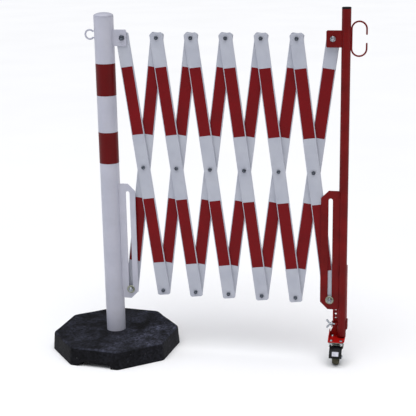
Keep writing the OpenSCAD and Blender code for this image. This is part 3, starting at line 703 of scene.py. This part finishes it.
def thread(radius, low, high, pitch=1.25):
    # the ridge climbs one pitch each turn: radius follows a triangle wave of height minus angle
    angle = np.arange(32) * tau / 32
    z = np.linspace(low, high, max(6, int((high - low) / pitch * 8)))[:, None] + 0 * angle[None]
    phase = np.mod(z / pitch - angle[None] / tau, 1)
    depth = 0.09 * radius * (1 - np.abs(2 * phase - 1))
    fade = np.clip((high - z) / 0.8, 0, 1)
    return ringSkin(turned((radius - depth) * (0.82 + 0.18 * np.sqrt(fade)), z, angle))


def washer(outer, inner, low, high):
    r = min(0.3, (high - low) / 3)
    profile = [(inner, low), (outer - r, low), (outer, low + r),
               (outer, high - r), (outer - r, high), (inner, high)]
    return lathe(profile, 48)


def rod(radius, low, high, sides=24):
    return lathe([(radius, low), (radius, high)], sides)


def along(shape, pivot, turn=0.0):
    # +Z of the shape becomes -Y, towards the viewer, so its heights are distances in front of Y = 0
    return placed(shape, (pivot[0], 0, pivot[2]), (0, -1, 0), (math.cos(turn), 0, math.sin(turn)))


def crossingBolt(pivot, turn):
    h, f, b = hardware, -frontFace + 0.1, -rearFace
    top = f + h["nutHigh"]
    return joined(
        along(nut(h["nutAcross"], f, top, h["bolt"]), pivot, turn),
        along(thread(h["bolt"] - 0.6, f, top + h["boltPast"]), pivot, turn),
        along(washer(h["middleWasher"], h["hole"], -rearLow[1] + 0.03, -frontHigh[1] - 0.03), pivot),
        along(washer(h["washer"], h["hole"], b - 1.0, b - 0.05), pivot),
        along(flipped(nut(h["nutAcross"], 0, h["headHigh"], h["bolt"], True), b - 1.0), pivot, turn + 0.4))


def pivotAt(i, layer, share):
    top = topPivots[i] if layer == "front" else topPivots[i + 1]
    return top + (crossingPivots[i] - top) * 2 * share


turns = np.random.default_rng(7).uniform(0, tau / 6, 40)     # nuts stop at any angle
for i in range(6):
    shapes = [crossingBolt(pivotAt(i, "front", 0.5), turns[i])]
    if i < 5:
        shapes.append(crossingBolt(pivotAt(i, "front", 1.0), turns[10 + i]))
        addPiece("topBolt_%d" % (i + 1), crossingBolt(pivotAt(i, "rear", 0.0), turns[20 + i]), nutZincPaintedShade,
                 "rear_slat_%d" % (i + 1), ("rear_bolt_%d" % (i + 1),))
    addPiece("crossingBolts_%d" % (i + 1), joined(*shapes), nutZincPaintedShade, "front_slat_%d" % (i + 1),
             ("front_bolts_%d" % (i + 1),))


def postBolt(pivot, slatFront, slatBack, turn):
    # a bolt fixed in a bracket: washer and nut in front of it, a spacer between bracket and slat
    h, f = hardware, -plateFront + 1.0
    top = f + h["postNutHigh"]
    return joined(
        along(washer(h["postWasher"], h["hole"], f - 0.98, f), pivot),
        along(nut(h["postNutAcross"], f, top, h["bolt"] + 0.8), pivot, turn),
        along(thread(h["bolt"] + 0.4, f, top + h["postBoltPast"]), pivot, turn),
        along(washer(h["postSpacer"], h["hole"], -slatFront + 0.05, -plateBack - 0.02), pivot),
        along(flipped(nut(h["postNutAcross"], 0, h["postHeadHigh"], h["bolt"], True), -slatBack - 0.1),
              pivot, turn + 0.3),
        along(rod(h["bolt"], -slatBack - 0.5, -plateBack + 0.5), pivot))


addPiece("leftPivotBolt", postBolt(topPivots[0], frontLow[1], frontHigh[1], 0.2), nutZincPaintedShade, "post",
         ("left_pivot_bolt",))
addPiece("rightPivotBolt", postBolt(topPivots[6], rearLow[1], rearHigh[1], 0.5), brightZinc, "castor_post",
         ("right_pivot_bolt",))


def slotBolt(pivot, slatFront, slatBack, turn):
    # a bolt that runs in a slot: the bush fills the slot's width, the big washer covers it
    h, f = hardware, -plateFront
    base = f + 0.3 + h["slotWasherThick"]
    top = base + h["slotNutHigh"]
    metal = joined(
        along(nut(h["postNutAcross"], base, top, h["bolt"] + 0.8), pivot, turn),
        along(thread(h["bolt"] + 0.4, base, top + h["slotBoltPast"]), pivot, turn),
        along(rod(h["bush"], -plateBack - 0.1, f + 0.3, 32), pivot),
        along(rod(h["slotSpacer"], -slatFront + 0.05, -plateBack - 0.1, 32), pivot),
        along(flipped(nut(h["postNutAcross"], 0, h["postHeadHigh"], h["bolt"], True), -slatBack), pivot, turn),
        along(rod(h["bolt"], -slatBack - 0.5, f), pivot))
    return metal, along(washer(h["slotWasher"], h["slotWasherHole"], f + 0.3, base), pivot)


for side, pivot, slatLow, slatHigh, body in (
        ("left", pivotAt(0, "rear", 1.0), rearLow, rearHigh, "rear_slat_1"),
        ("right", pivotAt(5, "front", 1.0), frontLow, frontHigh, "front_slat_6")):
    metal, bigWasher = slotBolt(pivot, slatLow[1], slatHigh[1], 0.25)
    addPiece(side + "SlotBolt", metal, brightZinc, body, (side + "_slot_bolt",))
    addPiece(side + "SlotWasher", bigWasher, yellowZinc, body)
print("nuts and bolts made")

dress("wheel_post_tube", redPowderCoat)
tubeCap = {"round": 2, "deep": 15}     # radius of its top edge, and how far it is pushed in


def tubeCapShape():
    # a push-in cap: flange as wide as the tube, its top rounded over
    r, base, top, edge = tubeRadius, tubeHigh[2], box("wheel_post_cap")[1][2], tubeCap["round"]
    skirt = [(r - 2.6, base - tubeCap["deep"]), (r - 2.4, base - 0.2), (r - 0.2, base + 0.05), (r, base + 0.4)]
    rounded = [(r - edge + edge * math.cos(a), top - edge + edge * math.sin(a))
               for a in np.linspace(0, math.pi / 2, 7)]
    return placed(lathe(skirt + rounded + [(r * 0.4, top)]), (tubeX, 0, 0), (0, 0, 1), (1, 0, 0))


addPiece("tubeCap", tubeCapShape(), blackPlastic, "castor_post", ("wheel_post_cap",), 50)
hook = {
    "sunk": 0.4,                         # how deep its wire lies in the tube's round
    "mouthClear": 1,                     # how far each wire end stays away from the mouth
    "weldRadius": 1.8, "weldLength": 17, "weldAt": 2.4,
    "upperWeld": 14, "lowerWeld": 3,     # where the welds start, under the bends' middles
}


def hookShape():
    # a C of round wire: down from the upper mouth end over the top, down the tube, and up again
    low, high = box("chain_hook")
    r = (high[1] - low[1]) / 2
    mouth = [o for o in frame["record"]["physics"]["openings"] if o["name"] == "hook_mouth"][0]["box_m"]
    mouthLow, mouthHigh = mouth[0][2] / mm - hook["mouthClear"], mouth[1][2] / mm + hook["mouthClear"]
    farX, nearX = high[0] - r, tubeX + tubeRadius + r - hook["sunk"]
    bend = (farX - nearX) / 2
    topZ, lowZ = high[2] - r - bend, low[2] + r + bend
    a = np.linspace(0, math.pi, 26)
    legs = ((farX, np.linspace(mouthHigh, topZ, 12)[:-1]),
            (nearX + bend + bend * np.cos(a), topZ + bend * np.sin(a)),
            (nearX + bend - bend * np.cos(a), lowZ - bend * np.sin(a)),
            (farX, np.linspace(lowZ, mouthLow, 12)[1:]))
    path = np.vstack([np.stack([x + 0 * z, 0 * z, z], axis=1) for x, z in legs])
    return wire(path, r), topZ, lowZ


hookWire, hookTop, hookLow = hookShape()
addPiece("chainHook", hookWire, redPowderCoat, "castor_post", ("chain_hook",), 60)
seamX = tubeX + tubeRadius + 0.6
hookWelds = [weldBead((seamX, s * hook["weldAt"], z), (seamX, s * hook["weldAt"], z + hook["weldLength"]),
                      hook["weldRadius"], z)
             for s in (-1, 1) for z in (hookTop - hook["upperWeld"], hookLow - hook["lowerWeld"])]
addPiece("hookWelds", joined(*hookWelds), redPowderCoat, "castor_post", (), 60)

for node, name, edge, slot, material in (
        ("foot_clip", "footClip", 0.6, "paint_red", redPowderCoat),
        ("screw_boss", "screwBoss", 0.5, "paint_red", redPowderCoat),
        ("wing_screw", "wingScrew", 1.0, "zinc", brightZinc),
        ("foot_rail", "footRail", 0.5, "foot_red", footPowderCoat),
        ("foot_plate", "footTopPlate", 0.6, "foot_red", footPowderCoat),
        ("castor_plate", "castorPlate", 0.5, "zinc", castorZinc),
        ("castor_bolts", "castorBolts", 0.6, "zinc", brightZinc),
        ("castor_kingpin", "castorKingpin", 0.6, "zinc", brightZinc),
        ("castor_axle", "castorAxle", 0.5, "zinc", brightZinc),
        ("brake_pedal", "brakePedal", 0.9, "black_plastic", blackPlastic),
        ("pedal_pad", "pedalPad", 0.35, "pale_plastic", palePlastic)):
    softCopy(node, name, edge, material)

fork = {
    "thick": 2.5,
    "legAt": 13.25,                # from the wheel's middle plane to a leg's middle line, at the axle
    "crownAt": 5.2,                # how much further out it starts under the crown
    "swell": 4.4,                  # and how much it swells between the two
    "legTop": 1.2, "legIn": 19,    # heights under the crown's middle where it starts and where it is straight
    "bendAt": 16,                  # height under the crown's middle where it bends back to the axle
    "wide": 22, "narrows": 7, "narrowest": 15.5,
    "endRound": 8,                 # radius of its end under the axle
}


def forkShape():
    # a pressed fork: a rolled crown round the ball race, and two legs that swell over the wheel and
    # then run down to the axle, each a flat strip whose middle line is a smooth curve
    axle = sum(box("castor_axle")) / 2
    swivel = sum(box("castor_balls")) / 2
    top = box("castor_fork")[1][2] - 4
    crown = [(4.2, top - 3), (18.2, top - 3.2), (20.2, top - 2), (20.9, top), (20.7, top + 2.6),
             (19.6, top + 3.9), (18.4, top + 3.9), (17.7, top + 2.8), (17.6, top), (4.2, top - 0.4)]
    shapes = [placed(lathe(crown, 72, loop=True), (swivel[0], swivel[1], 0), (0, 0, 1), (1, 0, 0))]
    legTop, legIn, bend, end = top - fork["legTop"], top - fork["legIn"], top - fork["bendAt"], fork["endRound"]
    z = np.concatenate([np.linspace(legTop, legIn, 15)[:-1], np.linspace(legIn, axle[2] - end + 0.15, 22)])
    drop = np.clip((legTop - z) / (fork["legIn"] - fork["legTop"]), 0, 1)
    out = (fork["legAt"] + fork["crownAt"] * np.cos(drop * math.pi / 2) ** 2
           + fork["swell"] * np.sin(drop * math.pi) ** 1.5)
    back = swivel[1] - 2 + (axle[1] - swivel[1] + 2) * smoothStep((bend - z) / 20)
    wide = np.maximum(fork["wide"] - fork["narrows"] * smoothStep((bend - z) / 14), fork["narrowest"])
    roundEnd = 2 * np.sqrt(np.clip(end ** 2 - np.clip(axle[2] - z, 0, end) ** 2, 0.5, end ** 2))
    wide = np.where(z < axle[2], roundEnd, wide)
    # the section is a rounded oblong, made from powers of cosine and sine
    arc = np.linspace(0, tau, 25)[:-1]
    outward = np.sign(np.cos(arc)) * np.abs(np.cos(arc)) ** 0.35 * fork["thick"] / 2
    sideways = np.sign(np.sin(arc)) * np.abs(np.sin(arc)) ** 0.22
    slope = np.gradient(out, z)[:, None]
    for sign in (1, -1):
        x = swivel[0] + sign * (out[:, None] + outward[None])
        y = back[:, None] + sideways[None] * wide[:, None] / 2
        rings = np.stack([x, y, z[:, None] - outward[None] * slope], axis=-1)
        shapes.append(ringSkin(rings[:, ::-sign]))
    return joined(*shapes)


addPiece("castorFork", forkShape(), castorZinc, "castor_swivel", ("castor_fork",), 50)
for node in ("castor_balls", "pedal_pin"):
    dress(node, castorZinc)
print("castor post made")

wheel = {
    "bore": 17.0,
    "crown": 3.0,                   # how much smaller the tread's radius is at its sides
    "lineAt": 0.62, "line": 0.35,   # two shallow lines: place as a share of half its width, and depth
}


def treadShape():
    # crowned across its width, with rounded shoulders and two shallow lines near them
    low, high = box("wheel_tread")
    half, radius, bore = (high[0] - low[0]) / 2, (high[2] - low[2]) / 2, wheel["bore"]
    u = np.linspace(-1, 1, 33)
    crown = (radius - wheel["crown"] * np.abs(u) ** 2.4
             - wheel["line"] * np.exp(-((np.abs(u) - wheel["lineAt"]) / 0.05) ** 2))
    inner = [(bore + 0.6, half), (bore, half - 0.6), (bore, -half + 0.6), (bore + 0.6, -half)]
    profile = np.vstack([np.stack([crown, u * half], axis=1), inner])
    return placed(lathe(profile, 96, loop=True), (low + high) / 2, (1, 0, 0))


addPiece("wheelTread", treadShape(), treadRubber, "castor_wheel", ("wheel_tread",), 50)
softCopy("wheel_hub", "wheelHub", 0.5, blackPlastic)
print("wheel made")

studio = {
    "floorReach": 80,                                           # metres from the middle
    "sky": "#F1F4FB", "skyStrength": 0.28, "paper": "#FFFFFF",
}


def paleFloor():
    # matt painted studio floor, near white, so only soft contact shadows show
    material, add, place = newMaterial("paleStudioFloor")
    tone = add("TexNoise", {"Scale": perGrain(900), "Detail": 2.0}, {"Vector": place})
    tone = add("ValToRGB", {"stops": [(0.3, "#F7F7F8"), (0.7, "#FAFAFB")]}, {"Fac": tone})
    surface = add("BsdfPrincipled", {"Roughness": 0.85, "Specular IOR Level": 0.1}, {"Base Color": tone})
    add("OutputMaterial", None, {"Surface": surface})
    return material


reach = studio["floorReach"]
floorMesh = bpy.data.meshes.new("studioFloor")
floorMesh.from_pydata([(-reach, -reach, 0), (reach, -reach, 0), (reach, reach, 0), (-reach, reach, 0)],
                      [], [(0, 1, 2, 3)])
floorMesh.materials.append(paleFloor())
addObject("studioFloor", floorMesh)

world = bpy.data.worlds.new("studioWorld")
bpy.context.scene.world = world
world.use_nodes = True
# the sky lights the object softly, and behind it stands a plain white paper that only the camera sees
sky = world.node_tree.nodes["Background"]
sky.inputs["Color"].default_value = linear(studio["sky"])
sky.inputs["Strength"].default_value = studio["skyStrength"]
paper = addNode(world.node_tree, "Background", {"Color": linear(studio["paper"]), "Strength": 1.0})
straight = addNode(world.node_tree, "LightPath", output="Is Camera Ray")
behind = addNode(world.node_tree, "MixShader", None, {0: straight, 1: sky.outputs[0], 2: paper})
world.node_tree.links.new(behind, world.node_tree.nodes["World Output"].inputs["Surface"])

# a panel's size is its width and height in metres, the overhead lamp's is its spread in degrees
for name, kind, place, target, power, colour, size in (
        ("overhead", "SUN", (0.3, -1.2, 4.8), (0.2, 0.1, 0), 2.62, "#FFFFFF", 60),
        ("leftPanel", "AREA", (-2.6, -1.2, 1.7), (0.2, 0, 0.6), 12, "#DCE6FF", (1.4, 2.4)),
        ("rightPanel", "AREA", (3.2, -1.6, 1.6), (0.5, 0, 0.6), 6, "#FFFFFF", (1.4, 2.4))):
    light = bpy.data.lights.new(name, kind)
    if kind == "AREA":
        light.shape = "RECTANGLE"
        light.size, light.size_y = size
    else:
        light.angle = math.radians(size)
    light.energy = power
    light.color = linear(colour)[:3]
    lamp = addObject(name, light)
    lamp.location = place
    lamp.rotation_euler = (Vector(target) - Vector(place)).to_track_quat("-Z", "Y").to_euler()

view = {"lens": 92.04, "place": (0.9862, -3.083, 1.3225), "yaw": -12.37, "pitch": 15.06, "roll": -1.02}
cameraData = bpy.data.cameras.new("camera")
cameraData.sensor_width = 36
cameraData.lens = view["lens"]
camera = addObject("camera", cameraData)
yaw, pitch, roll = (math.radians(view[k]) for k in ("yaw", "pitch", "roll"))
ahead = np.array([math.sin(yaw) * math.cos(pitch), math.cos(yaw) * math.cos(pitch), -math.sin(pitch)])
right = np.array([math.cos(yaw), -math.sin(yaw), 0])
upward = np.cross(right, ahead)
rolledRight = math.cos(roll) * right + math.sin(roll) * upward
rolledUp = -math.sin(roll) * right + math.cos(roll) * upward
axes = Matrix([list(rolledRight), list(rolledUp), list(-ahead)]).transposed()
camera.matrix_world = Matrix.Translation(view["place"]) @ axes.to_4x4()
bpy.context.scene.camera = camera
bpy.context.scene.view_settings.view_transform = "Standard"
print("floor, lights and camera set")
